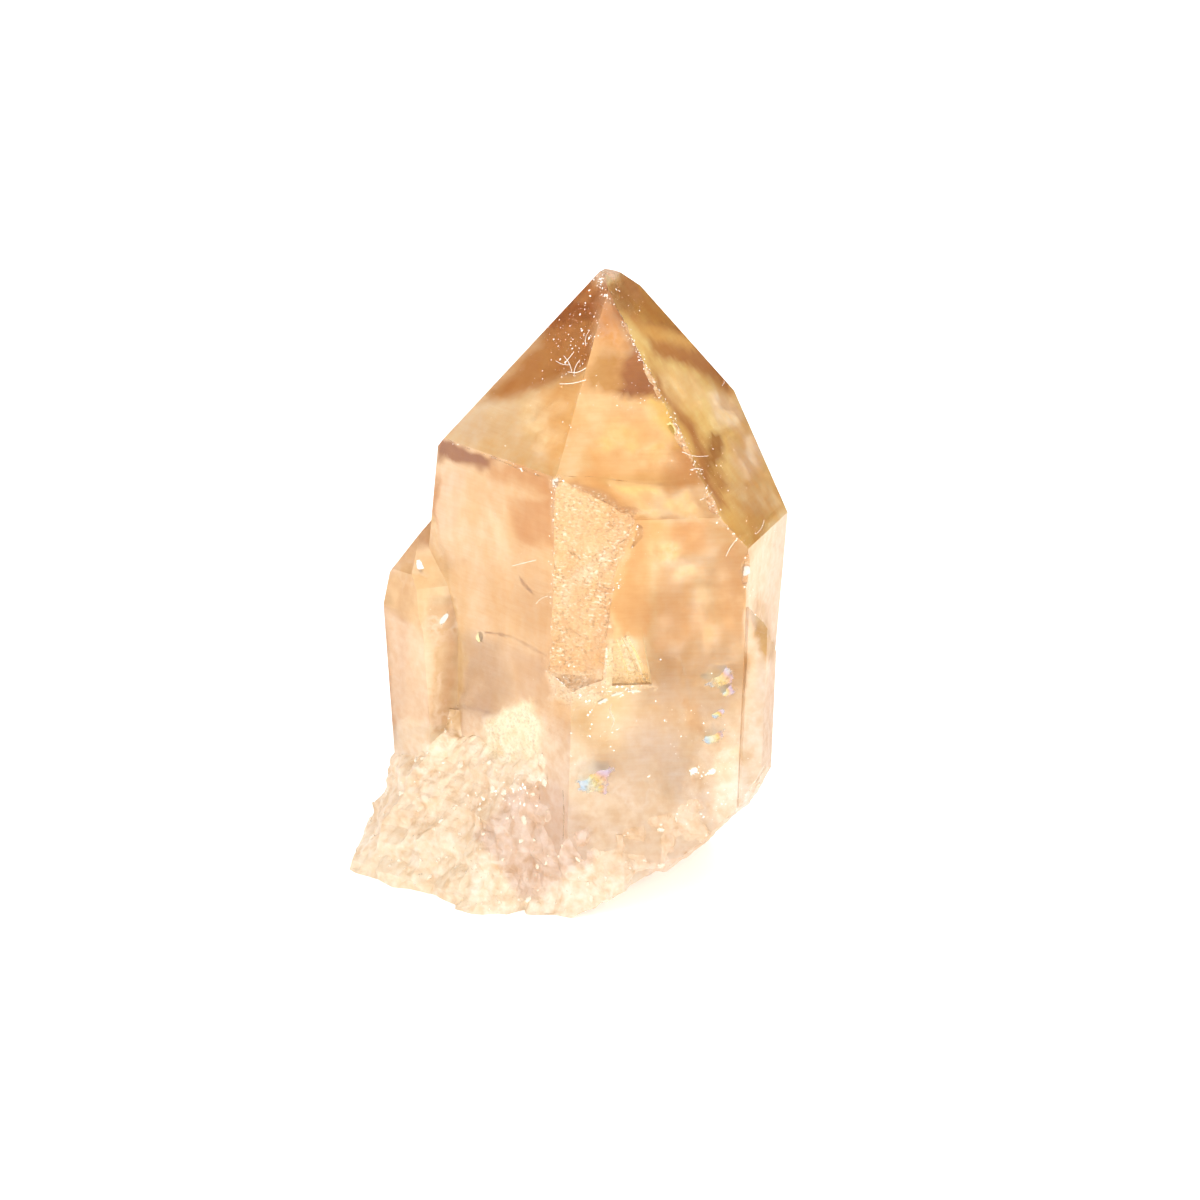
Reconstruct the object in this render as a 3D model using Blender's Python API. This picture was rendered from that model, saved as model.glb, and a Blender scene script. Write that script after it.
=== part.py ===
"""A natural citrine crystal point, 47 mm tall, standing on the flat cut of its broken, milky base.

Run it with: blender --background --python part.py
Units are metres. The origin is where the main crystal's long axis meets the resting plane.
+Z runs up that axis to the tip, and -Y is the front. Azimuths are degrees from -Y towards +X.
"""

import math

import bmesh
import bpy
from mathutils import Matrix, Vector, noise

MM = 0.001
NAME = "citrine_crystal"

# A quartz tip face's normal stands this far from the long axis, from the axial ratio c/a = 1.1000.
TIP_SLOPE = math.degrees(math.atan(1.1000 / math.cos(math.radians(30))))
TURN = 11.8
SIXTH = 60
BLOCK = 80 * MM

# Prism faces: sixths of a turn from the front face, lean towards the axis going up, distance from it.
PRISM_LEVEL = 25 * MM
MAIN_PRISM = {
    "front": (0, 0.0, 11.3 * MM),
    "right": (1, 0.0, 12.7 * MM),
    "back_right": (2, -8.0, 9.85 * MM),
    "back": (3, 0.5, 11.0 * MM),
    "back_left": (4, 5.0, 13.6 * MM),
    "left": (5, 0.0, 9.97 * MM),
}
# Tip faces: sixths of a turn, and the height at which the face would cross the axis.
MAIN_TIP = {
    "front": (0, 45.8 * MM),
    "right": (1, 45.1 * MM),
    "back_right": (2, 51.4 * MM),
    "back": (3, 51.6 * MM),
    "back_left": (4, 49.8 * MM),
    "left": (5, 46.9 * MM),
}
MAIN_FOOT = -3 * MM
# Planes that broke off the tip, the lower right side and the front foot: a point, azimuth and rise.
BREAKS = [
    (Vector((-1.4, 2.9, 47.1)) * MM, 90, 72),
    (Vector((0.7, 2.9, 46.3)) * MM, 80, 48),
    (Vector((13.16, 0.0, 18.1)) * MM, 90, -6.9),
    (Vector((-2.57, -12.08, 6.5)) * MM, -14, -18),
]

# The smaller crystal grown on the left, almost parallel to the main one.
LEFT_PLACE = Vector((-10.9, 1.7, 0)) * MM
LEFT_LEAN = 5.0
LEFT_PRISM = [3.9, 3.9, 3.9, 4.2, 4.3, 4.1]
LEFT_TIP = [26.2, 28.5, 28.5, 28.5, 28.1, 28.0]
# Steep faces between its prism and its tip: sixths of a turn, the height where they start, their rise.
LEFT_STEEP = [(5, 20.7 * MM, 13), (4, 20.9 * MM, 13), (0, 19.6 * MM, 20)]

# The thin crystals grown side by side up the lower right corner: place, radius and tip heights.
RIBS = [
    (Vector((11.0, -8.1, 0)) * MM, 1.3, [26.0, 24.3, 22.7, 26.0, 26.0, 26.0]),
    (Vector((11.5, -5.2, 0)) * MM, 1.25, [24.0, 22.0, 21.0, 24.0, 24.0, 24.0]),
]
RIB_FOOT = 2 * MM

# The frosted facet that takes off the edge between the front and left prism faces.
FROST_EDGE = Vector((-4.3, -10.15, 0)) * MM
FROST_TURN = [(19.0, -20.0), (22.0, -19.0), (29.5, -14.0), (31.5, -9.1)]
FROST_FOOT = 19 * MM
FROST_FOOT_SLOPE = 35
FROST_DEPTH = 5 * MM
FROST_HALF = (7 * MM, 14 * MM)
FROST_CELL = 0.8 * MM
FROST_RELIEF = 0.13 * MM
FROST_PITS = (1.1 * MM, 0.6 * MM)

# The scar beside it on the front face: its middle, half width and half height, deeper going down.
SCAR = Vector((1.7, -10.95, 20.2)) * MM
SCAR_HALF = (1.35 * MM, 1.75 * MM)
SCAR_SLOPE = 12
SCAR_LEDGE = -80

# The crumbly base: its outline on the resting plane, as azimuth and radius, and its height.
FOOTPRINT = [
    (-165, 12.2), (-135, 13.8), (-110, 16.6), (-92, 19.1), (-79, 20.0), (-68, 17.6), (-54, 15.8),
    (-40, 15.9), (-32, 14.8), (-27, 13.1), (-12, 12.5), (12, 12.2), (40, 13.6), (71, 13.4),
    (100, 12.6), (130, 11.6), (165, 12.2),
]
CRUST_HEIGHT = 13 * MM
CRUST_DEPTH = -2 * MM
CRUST_SEGMENTS = 132
CRUST_RINGS = 15
CRUST_SINK = 0.7 * MM
CRUST_CALM = 0.6
CRUST_CURVE = 0.8
LEDGE_STEP = 3.1 * MM
LEDGE_DEPTH = 0.8 * MM
LEDGE_WAVE = (1.3 * MM, 5 * MM)

# The undercut where the base broke away on the lower right: x and the height of its underside.
UNDERCUT = [
    (-6.0, -2.5), (-2.5, -0.2), (0.5, 0.9), (3.5, 2.8), (7.3, 5.8), (10.0, 9.2), (11.6, 12.0), (13.0, 17.0)
]
UNDERCUT_SKEW = 0.42
UNDERCUT_FRONT = -11 * MM
UNDERCUT_HALF = 16 * MM
UNDERCUT_CELL = 1.1 * MM
UNDERCUT_EASE = 3 * MM
UNDERCUT_FOOT = -6 * MM

# Broken facets: the size of a facet and how far it stands in or out, and how much facets tilt.
COARSE_FACET = (4.6 * MM, 0.8 * MM)
FINE_FACET = (2.1 * MM, 0.5 * MM)
FACET_TILT = 0.9
FACET_SHUFFLE = 7.3

# Chips knocked from the tip and edges: place, radius, and stretch along Z.
CHIPS = [
    (Vector((-0.55, 2.3, 46.9)) * MM, 0.5 * MM, 1.0),
    (Vector((10.5, -9.6, 27.4)) * MM, 0.85 * MM, 1.5),
    (Vector((-4.2, -10.4, 34.2)) * MM, 0.5 * MM, 1.0),
]
# The edge between the front and right tip faces, and the shares of it where small chips are gone.
CHIPPED_EDGE = (Vector((-0.9, 0.2, 46.2)) * MM, Vector((8.1, -9.9, 31.4)) * MM)
EDGE_CHIPS = [(0.17, 0.22), (0.38, 0.34), (0.45, 0.26), (0.64, 0.42), (0.71, 0.34), (0.93, 0.46)]
EDGE_CHIP_STRETCH = 2.6
CHIP_ROUGHNESS = 0.35
CHIP_LUMPS = 1.7
CHIP_SHUFFLE = 5.1
SMALL_CHIP = 0.4 * MM

CITRINE = (0.93, 0.70, 0.36, 1.0)
CITRINE_IOR = 1.544


def clear_scene():
    for obj in list(bpy.data.objects):
        bpy.data.objects.remove(obj, do_unlink=True)


def collection(name):
    made = bpy.data.collections.new(name)
    bpy.context.scene.collection.children.link(made)
    return made


def direction(azimuth, rise=0.0):
    """The unit vector at an azimuth from the front, rising by an angle above the horizontal."""
    a, r = math.radians(azimuth), math.radians(rise)
    return Vector((math.sin(a) * math.cos(r), -math.cos(a) * math.cos(r), math.sin(r)))


def cut(bm, point, normal):
    """Takes off what lies beyond the plane and closes the cut with one flat face."""
    whole = bm.verts[:] + bm.edges[:] + bm.faces[:]
    made = bmesh.ops.bisect_plane(
        bm, geom=whole, plane_co=point, plane_no=normal, clear_outer=True
    )
    rim = [e for e in made["geom_cut"] if isinstance(e, bmesh.types.BMEdge)]
    if rim:
        bmesh.ops.edgeloop_fill(bm, edges=rim)


def block():
    bm = bmesh.new()
    bmesh.ops.create_cube(bm, size=2 * BLOCK)
    return bm


def new_object(name, bm, home, matrix=None):
    """An object holding the mesh, in the given collection."""
    bmesh.ops.recalc_face_normals(bm, faces=bm.faces[:])
    if matrix is not None:
        bm.transform(matrix)
    mesh = bpy.data.meshes.new(name)
    bm.to_mesh(mesh)
    bm.free()
    obj = bpy.data.objects.new(name, mesh)
    home.objects.link(obj)
    return obj


def hide_cutter(obj):
    obj.hide_render = True
    obj.display_type = "WIRE"


def add_boolean(obj, other, operation):
    modifier = obj.modifiers.new(other.name, "BOOLEAN")
    modifier.object = other
    modifier.operation = operation
    modifier.solver = "EXACT"


def main_crystal():
    """The main crystal: six prism faces and six tip faces of unequal size."""
    bm = block()
    for sixth, lean, distance in MAIN_PRISM.values():
        azimuth = TURN + sixth * SIXTH
        point = direction(azimuth) * distance + Vector((0, 0, PRISM_LEVEL))
        cut(bm, point, direction(azimuth, lean))
    for sixth, height in MAIN_TIP.values():
        cut(bm, Vector((0, 0, height)), direction(TURN + sixth * SIXTH, 90 - TIP_SLOPE))
    for point, azimuth, rise in BREAKS:
        cut(bm, point, direction(azimuth, rise))
    cut(bm, Vector((0, 0, MAIN_FOOT)), Vector((0, 0, -1)))
    return bm


def small_crystal(distances, heights, foot):
    """A crystal about its own Z axis, from its faces' distances and heights in millimetres."""
    bm = block()
    for sixth, distance in enumerate(distances):
        azimuth = TURN + sixth * SIXTH
        cut(bm, direction(azimuth) * distance * MM, direction(azimuth))
    for sixth, height in enumerate(heights):
        cut(bm, Vector((0, 0, height * MM)), direction(TURN + sixth * SIXTH, 90 - TIP_SLOPE))
    cut(bm, Vector((0, 0, foot)), Vector((0, 0, -1)))
    return bm


def left_crystal(home):
    bm = small_crystal(LEFT_PRISM, LEFT_TIP, MAIN_FOOT)
    for sixth, height, rise in LEFT_STEEP:
        azimuth = TURN + sixth * SIXTH
        start = direction(azimuth) * LEFT_PRISM[sixth] * MM + Vector((0, 0, height))
        cut(bm, start, direction(azimuth, rise))
    lean = Matrix.Rotation(math.radians(-LEFT_LEAN), 4, "Y")
    return new_object("left_crystal", bm, home, Matrix.Translation(LEFT_PLACE) @ lean)


def ribs(home):
    made = []
    for index, (place, radius, heights) in enumerate(RIBS):
        bm = small_crystal([radius] * 6, heights, RIB_FOOT)
        made.append(new_object(f"rib_{index + 1}", bm, home, Matrix.Translation(place)))
    return made


def facets(point, size, depth):
    """How far a broken surface stands in or out here: each cell of the pattern is one tilted facet."""
    scaled = point / size
    centre = noise.voronoi(scaled)[1][0]
    chance = noise.cell_vector(centre * FACET_SHUFFLE)
    tilt = (chance - Vector((0.5, 0.5, 0.5))).dot(scaled - centre)
    return depth * (chance.x + chance.y - 1 + FACET_TILT * tilt)


def broken(point):
    return facets(point, *COARSE_FACET) + facets(point + Vector((0, 0, 1)), *FINE_FACET)


def between(points, at, smooth=False):
    """A value read from (place, value) points joined by straight lines, or by smooth steps."""
    for (low, first), (high, second) in zip(points, points[1:]):
        if at <= high:
            share = max(0.0, (at - low) / (high - low))
            if smooth:
                share = share * share * (3 - 2 * share)
            return first + (second - first) * share
    return points[-1][1]


def footprint(azimuth):
    azimuth = (azimuth + 180) % 360 - 180
    first, last = FOOTPRINT[0], FOOTPRINT[-1]
    ring = [(last[0] - 360, last[1]), *FOOTPRINT, (first[0] + 360, first[1])]
    return between(ring, azimuth, smooth=True) * MM


def prism_reach(azimuth, centre, distances):
    """How far along an azimuth from the long axis a prism reaches, or nothing where it isn't met."""
    near, far = 0.0, BLOCK
    for sixth, distance in enumerate(distances):
        normal = direction(TURN + sixth * SIXTH)
        facing = normal.dot(direction(azimuth))
        share = distance + normal.dot(centre)
        if facing > 0:
            far = min(far, share / facing)
        elif facing < 0:
            near = max(near, share / facing)
    return far if far > near else 0.0


def shoulder(azimuth):
    """How far from the axis the base reaches at its top, just under the crystals' faces."""
    drop = PRISM_LEVEL - CRUST_HEIGHT
    main = [far + drop * math.tan(math.radians(lean)) for _, lean, far in MAIN_PRISM.values()]
    left = [distance * MM for distance in LEFT_PRISM]
    reaches = prism_reach(azimuth, Vector(), main), prism_reach(azimuth, LEFT_PLACE, left)
    return max(reaches) - CRUST_SINK


def ledges(place):
    """Steps that run round the base, each a little wider at its foot."""
    depth, size = LEDGE_WAVE
    wave = depth * noise.noise(place / size)
    climb = (place.z + wave) / LEDGE_STEP
    return LEDGE_DEPTH * (0.5 - (climb - math.floor(climb)))


def crust(home):
    """The crumbly base: a wall that flares to its footprint, broken into facets and ledges."""
    bm = bmesh.new()
    bmesh.ops.create_cone(
        bm, cap_ends=True, segments=CRUST_SEGMENTS, radius1=1, radius2=1, depth=1
    )
    upright = [e for e in bm.edges if abs(e.verts[0].co.z - e.verts[1].co.z) > 0.5]
    bmesh.ops.subdivide_edges(bm, edges=upright, cuts=CRUST_RINGS, use_grid_fill=True)
    for vertex in bm.verts:
        azimuth = math.degrees(math.atan2(vertex.co.x, -vertex.co.y))
        height = CRUST_DEPTH + (vertex.co.z + 0.5) * (CRUST_HEIGHT - CRUST_DEPTH)
        share = max(0.0, min(1.0, height / CRUST_HEIGHT))
        narrowing = share ** CRUST_CURVE
        radius = footprint(azimuth) * (1 - narrowing) + shoulder(azimuth) * narrowing
        place = direction(azimuth) * radius + Vector((0, 0, height))
        relief = (broken(place) + ledges(place)) * (1 - CRUST_CALM * share)
        vertex.co = place + direction(azimuth) * relief
    return new_object("crust", bm, home)


def undercut(home):
    """A block whose top is the broken underside on the lower right."""
    cells = round(2 * UNDERCUT_HALF / UNDERCUT_CELL)
    bm = bmesh.new()
    bmesh.ops.create_grid(bm, x_segments=cells, y_segments=cells, size=UNDERCUT_HALF)
    low = UNDERCUT[0][1] * MM
    for vertex in bm.verts:
        across = vertex.co.x - UNDERCUT_SKEW * (vertex.co.y - UNDERCUT_FRONT)
        height = between(UNDERCUT, across / MM) * MM
        depth = min(1.0, (height - low) / UNDERCUT_EASE)
        vertex.co.z = height + depth * broken(vertex.co)
    made = bmesh.ops.extrude_face_region(bm, geom=bm.faces[:])
    for vertex in made["geom"]:
        if isinstance(vertex, bmesh.types.BMVert):
            vertex.co.z = UNDERCUT_FOOT
    return new_object("undercut", bm, home)


def frost_cutter(home):
    """A block whose inner face is the pitted, frosted facet, ending below in a sloping step."""
    wide, tall = FROST_HALF
    coarse, fine = FROST_PITS
    columns, rows = round(2 * wide / FROST_CELL), round(2 * tall / FROST_CELL)
    bm = bmesh.new()
    bmesh.ops.create_grid(bm, x_segments=columns, y_segments=rows, size=1)
    for vertex in bm.verts:
        height = FROST_FOOT + (vertex.co.y + 1) * tall
        turn = between(FROST_TURN, height / MM)
        place = FROST_EDGE + direction(turn + 90) * vertex.co.x * wide + Vector((0, 0, height))
        pits = noise.noise(place / coarse) + 0.5 * noise.noise(place / fine)
        vertex.co = place + direction(turn) * FROST_RELIEF * pits
    made = bmesh.ops.extrude_face_region(bm, geom=bm.faces[:])
    drop = math.tan(math.radians(FROST_FOOT_SLOPE)) * FROST_DEPTH
    for vertex in made["geom"]:
        if isinstance(vertex, bmesh.types.BMVert):
            vertex.co += direction(FROST_TURN[0][1]) * FROST_DEPTH - Vector((0, 0, drop))
    return new_object("frost_cutter", bm, home)


def scar_cutter(home):
    """A wedge that takes a shallow scar out of the front face, ending below in a small ledge."""
    wide, tall = SCAR_HALF
    up = Vector((0, 0, 1))
    across = direction(TURN + 90)
    bm = block()
    cut(bm, SCAR + up * tall, direction(TURN + 180, SCAR_SLOPE))
    cut(bm, SCAR - up * tall, direction(TURN, SCAR_LEDGE))
    cut(bm, SCAR - across * wide, direction(TURN - 90))
    cut(bm, SCAR + across * wide, direction(TURN + 90, SCAR_SLOPE))
    cut(bm, SCAR + direction(TURN) * 2 * tall, direction(TURN))
    return new_object("scar_cutter", bm, home)


def chips(home):
    top, foot = CHIPPED_EDGE
    lean = (foot - top).to_track_quat("Z", "Y").to_matrix().to_4x4()
    made = []
    places = [(*chip, Matrix()) for chip in CHIPS]
    for share, radius in EDGE_CHIPS:
        places.append((top.lerp(foot, share), radius * MM, EDGE_CHIP_STRETCH, lean))
    for index, (place, radius, stretch, turned) in enumerate(places):
        bm = bmesh.new()
        fineness = 1 if radius < SMALL_CHIP else 2
        bmesh.ops.create_icosphere(bm, subdivisions=fineness, radius=radius)
        for vertex in bm.verts:
            shuffled = vertex.co / radius * CHIP_LUMPS + Vector((index * CHIP_SHUFFLE, 0, 0))
            rough = noise.noise(shuffled)
            vertex.co *= 1 + CHIP_ROUGHNESS * rough
            vertex.co.z *= stretch
        matrix = Matrix.Translation(place) @ turned
        made.append(new_object(f"chip_{index + 1}", bm, home, matrix))
    return made


def floor_cutter(home):
    """All that lies below the resting plane."""
    bm = block()
    return new_object("floor_cutter", bm, home, Matrix.Translation((0, 0, -BLOCK)))


def citrine():
    material = bpy.data.materials.new("citrine")
    material.use_nodes = True
    shader = material.node_tree.nodes["Principled BSDF"]
    shader.inputs["Base Color"].default_value = CITRINE
    shader.inputs["Roughness"].default_value = 0.05
    shader.inputs["Metallic"].default_value = 0.0
    shader.inputs["IOR"].default_value = CITRINE_IOR
    shader.inputs["Transmission Weight"].default_value = 1.0
    return material


def main():
    clear_scene()
    home = collection(NAME)
    cutters = collection("cutters")
    crystal = new_object(NAME, main_crystal(), home)
    crystal.data.materials.append(citrine())
    grown = [left_crystal(cutters), *ribs(cutters), crust(cutters)]
    taken = [undercut(cutters), frost_cutter(cutters), scar_cutter(cutters), *chips(cutters)]
    taken.append(floor_cutter(cutters))
    for other in grown:
        add_boolean(crystal, other, "UNION")
    for other in taken:
        add_boolean(crystal, other, "DIFFERENCE")
    for other in grown + taken:
        hide_cutter(other)


main()
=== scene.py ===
"""The citrine crystal point as photographed: materials, inner flaws, dust, light and camera.

Units are metres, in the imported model's frame: +Z runs up the crystal and -Y is the front.
Places read from the photograph are pixels of its 1200 by 1200 frame, from the top left corner.
"""

import math
import random

import bmesh
import bpy
import numpy as np
from mathutils import Matrix, Vector, noise
from mathutils.bvhtree import BVHTree

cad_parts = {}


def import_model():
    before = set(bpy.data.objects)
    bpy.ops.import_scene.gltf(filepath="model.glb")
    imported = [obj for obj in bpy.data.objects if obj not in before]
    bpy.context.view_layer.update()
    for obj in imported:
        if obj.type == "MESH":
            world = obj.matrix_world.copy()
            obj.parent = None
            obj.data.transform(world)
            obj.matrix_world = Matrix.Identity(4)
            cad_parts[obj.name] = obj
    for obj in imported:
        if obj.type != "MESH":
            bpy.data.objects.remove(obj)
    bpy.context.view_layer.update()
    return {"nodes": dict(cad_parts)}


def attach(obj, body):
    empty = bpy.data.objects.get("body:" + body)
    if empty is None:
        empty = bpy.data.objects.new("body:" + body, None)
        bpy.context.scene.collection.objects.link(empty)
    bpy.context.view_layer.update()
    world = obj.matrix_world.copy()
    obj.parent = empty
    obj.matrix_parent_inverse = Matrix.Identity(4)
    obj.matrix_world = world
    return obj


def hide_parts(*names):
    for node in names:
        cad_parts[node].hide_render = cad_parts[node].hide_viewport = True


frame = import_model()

MM = 0.001
NODE = "citrine_crystal"
SEED = 20
FULL_TURN = 6.28

# The photograph's camera, fitted to the crystal's faces.
FRAME_PIXELS = 1200
SENSOR = 36.0
CAMERA_RISE = math.radians(17.8)
CAMERA_ROLL = math.radians(1.9)
CAMERA_DISTANCE = 350 * MM
PIXEL = 0.0772 * MM
TARGET = Vector((0, 0, 24)) * MM
TARGET_PIXEL = (610.0, 570.0)
CAMERA_NEAR = 10 * MM

# Fine surface: longest edge on clean faces and on broken ones, and the relief added to broken ones.
CLEAN_EDGE = 0.9 * MM
ROUGH_EDGE = 0.38 * MM
CLEAN_AREA = 1.5 * MM * MM
# Places on clean faces that carry fine detail, as the corners of boxes of pixels.
FINE_PLACES = [((378, 495), (462, 745)), ((430, 436), (495, 474)), ((540, 465), (664, 712))]
FINE_EDGE = 0.4 * MM
FINE_BACK = 3 * MM
PLANE_ANGLE = math.radians(0.4)
PLANE_GAP = 0.03 * MM
RELIEF = [(1.6 * MM, 0.16 * MM), (0.7 * MM, 0.09 * MM), (0.35 * MM, 0.04 * MM)]
RELIEF_SHIFT = Vector((9, 3, 5))
REFINE_ROUNDS = 14
MERGE_GAP = 0.0005 * MM
FLAT_TOP = 0.02 * MM

# How far out a ragged flaw reaches, as a share of its half width.
VEIL_EDGE = 0.96
# Flaws inside: pixel, depth under the surface, width and height in millimetres, turn, colour.
PALE = (1.0, 0.88, 0.66)
AMBER = (1.0, 0.72, 0.36)
VEILS = [
    ((515, 735), 2.2, (4.6, 4.2), 30, PALE),
    ((500, 725), 3.0, (3.2, 3.0), -30, PALE),
    ((530, 715), 1.6, (1.4, 2.8), 85, AMBER),
    ((535, 775), 2.2, (4.5, 3.5), 10, PALE),
    ((680, 558), 1.2, (4.6, 5.4), 10, (1.0, 0.8, 0.42)),
    ((694, 588), 1.4, (3.0, 3.0), 75, (1.0, 0.82, 0.46)),
    ((668, 425), 1.6, (1.8, 2.8), 60, AMBER),
    ((726, 408), 1.5, (2.0, 2.8), 55, PALE),
    ((748, 455), 1.6, (1.8, 4.2), 80, PALE),
]
# Bright glints just under the surface, in the same form: painted highlights, pale sheets where edges and
# cracks reflect the light, with one white chip among them.
GLINTS = [
    ((420, 567), -0.03, (0.6, 1.5), 14, (0.9, 0.9, 0.9)),
    ((444, 619), -0.03, (0.5, 1.3), -35, (0.66, 0.62, 0.55)),
    ((480, 637), 0.06, (0.9, 1.0), 0, (0.66, 0.56, 0.26)),
    ((693, 770), -0.02, (0.8, 0.9), 0, (0.74, 0.7, 0.6)),
    ((711, 771), -0.02, (1.0, 0.7), 10, (0.76, 0.72, 0.62)),
    ((745, 570), -0.05, (1.0, 1.2), 0, (0.72, 0.66, 0.58)),
    ((556, 482), 0.0, (0.7, 0.9), 0, (0.66, 0.58, 0.48)),
    ((672, 428), 0.06, (0.6, 1.3), 30, (0.66, 0.5, 0.18)),
    ((602, 701), 0.0, (0.9, 0.6), 20, (0.66, 0.58, 0.46)),
    ((616, 694), -0.02, (1.3, 0.34), 12, (0.62, 0.52, 0.38)),
    ((634, 691), -0.02, (1.3, 0.3), -4, (0.62, 0.52, 0.38)),
]
# Edges of cracks seen as lines, and one painted highlight along the notch: pixels along them, depth,
# width in millimetres, colour.
BROWN = (0.45, 0.24, 0.10)
TAN = (0.41, 0.255, 0.135)
GOLD = (0.80, 0.57, 0.22)
LINES = [
    ((484, 632, 497, 634, 512, 637, 528, 646, 547, 656), 0.03, 0.36, (0.52, 0.3, 0.12)),
    ((434, 712, 448, 709, 462, 707, 480, 710, 497, 715), 0.04, 0.34, (0.58, 0.35, 0.16)),
    # Painted highlight: a cream band along the bottom of the notch, over the shade of its ledge.
    ((609, 684, 630, 684, 651, 683), -0.03, 0.62, (0.64, 0.54, 0.33)),
    ((519, 576, 524, 584, 533, 594), 0.03, 0.42, BROWN),
    ((680, 657, 686, 675, 690, 700, 697, 722), 0.03, 0.2, (1.0, 0.93, 0.8)),
    ((563, 790, 564, 815, 563, 840), -0.01, 0.16, TAN),
    ((637, 524, 641, 530, 637, 540, 631, 548), 0.03, 0.5, BROWN),
    ((607, 642, 606, 664, 605, 688), 0.0, 0.16, (1.0, 0.95, 0.85)),
    ((616, 640, 624, 662, 632, 684), -0.01, 0.16, GOLD),
    ((622, 638, 633, 660, 642, 684), -0.01, 0.18, (0.55, 0.37, 0.14)),
    ((628, 638, 640, 662, 650, 688), -0.01, 0.24, GOLD),
    ((633, 650, 640, 668, 645, 684), -0.01, 0.14, (0.82, 0.7, 0.44)),
    ((612, 703, 610, 711, 614, 720, 611, 730), -0.01, 0.13, (0.62, 0.53, 0.4)),
]
# Rainbow cracks, their colours a painted reflection: pixel, depth, width and height, turn.
CRACKS = [
    ((591, 775), -0.02, (3.7, 2.8), 20),
    ((600, 787), -0.02, (1.6, 1.2), -30),
    ((718, 676), -0.02, (2.7, 2.1), 10),
    ((727, 690), -0.02, (1.5, 1.2), -20),
    ((713, 735), -0.02, (2.1, 1.6), 15),
    ((718, 713), -0.02, (1.2, 0.8), 30),
]
RAINBOW = [
    (0.0, (0.50, 0.54, 0.58)),
    (0.2, (0.27, 0.39, 0.50)),
    (0.34, (0.48, 0.50, 0.36)),
    (0.46, (0.58, 0.44, 0.10)),
    (0.6, (0.56, 0.30, 0.10)),
    (0.74, (0.45, 0.31, 0.38)),
    (0.88, (0.37, 0.37, 0.46)),
    (1.0, (0.52, 0.44, 0.32)),
]
# Dust and chips: from pixel to pixel, scatter in pixels, count, least and greatest radius in mm.
DUST = [
    (552, 348, 600, 300, 9, 80, 0.02, 0.09),
    (560, 375, 590, 330, 8, 70, 0.02, 0.11),
    (500, 410, 580, 400, 22, 40, 0.02, 0.06),
    (598, 276, 606, 300, 3, 40, 0.03, 0.14),
    (612, 290, 640, 312, 5, 30, 0.02, 0.10),
    (622, 322, 656, 386, 1.8, 80, 0.02, 0.10),
    (656, 386, 692, 456, 2.0, 70, 0.02, 0.10),
    (692, 456, 722, 524, 1.8, 60, 0.02, 0.09),
    (722, 524, 750, 548, 1.8, 40, 0.02, 0.09),
    (700, 430, 722, 500, 11, 60, 0.02, 0.07),
    (586, 366, 556, 478, 1.2, 40, 0.015, 0.05),
    (606, 296, 586, 360, 1.2, 34, 0.015, 0.06),
    (447, 441, 553, 478, 1.4, 34, 0.015, 0.07),
    (553, 480, 552, 640, 2.0, 80, 0.02, 0.08),
    (640, 524, 612, 606, 3.0, 44, 0.02, 0.08),
    (745, 568, 750, 600, 3.0, 22, 0.03, 0.16),
    (742, 520, 776, 536, 6, 36, 0.02, 0.06),
    (560, 660, 600, 745, 16, 110, 0.02, 0.11),
    (600, 690, 640, 690, 4, 34, 0.03, 0.11),
    (600, 395, 660, 396, 8, 34, 0.015, 0.05),
    (694, 770, 711, 771, 3, 12, 0.05, 0.14),
    (466, 800, 530, 788, 9, 80, 0.03, 0.14),
    (424, 764, 440, 776, 5, 12, 0.03, 0.14),
    (700, 800, 764, 780, 17, 90, 0.025, 0.10),
    (650, 700, 740, 760, 24, 70, 0.02, 0.08),
    (620, 560, 740, 560, 40, 60, 0.012, 0.04),
    (450, 560, 550, 600, 50, 60, 0.012, 0.04),
    (470, 360, 600, 290, 16, 50, 0.012, 0.045),
]
# Lint: from pixel to pixel, and width in mm.
LINT = [
    (564, 356, 572, 372, 0.05), (568, 372, 586, 368, 0.06), (574, 352, 566, 362, 0.05),
    (580, 360, 574, 376, 0.05), (560, 384, 586, 380, 0.06), (556, 361, 570, 365, 0.04),
    (682, 452, 708, 456, 0.06), (690, 470, 703, 470, 0.05), (722, 386, 730, 372, 0.04),
    (590, 330, 586, 346, 0.05), (726, 556, 740, 536, 0.04), (700, 500, 712, 492, 0.04),
    (512, 566, 536, 560, 0.04), (536, 604, 548, 596, 0.03), (764, 520, 756, 534, 0.04),
]
LINT_BOW = 0.14
LINT_STEPS = 7
# Chips along the edges at the back, and dust there.
CHIP_ANGLE = math.radians(15)
CHIP_COUNT = 260
CHIP_SIZE = (0.015 * MM, 0.13 * MM)
REAR_DUST = 500
REAR_DUST_SIZE = (0.015 * MM, 0.055 * MM)
CRUMB_COUNT = 420
CRUMB_SIZE = (0.10 * MM, 0.34 * MM)
CRUMB_BOTTOM = 0.4 * MM
CRUMB_TOP = 13 * MM
# How far the corners of a grain stand out, as least and greatest share of its radius.
UNEVEN = (0.45, 1.3)
CRUMB_UNEVEN = (0.75, 1.2)

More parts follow.
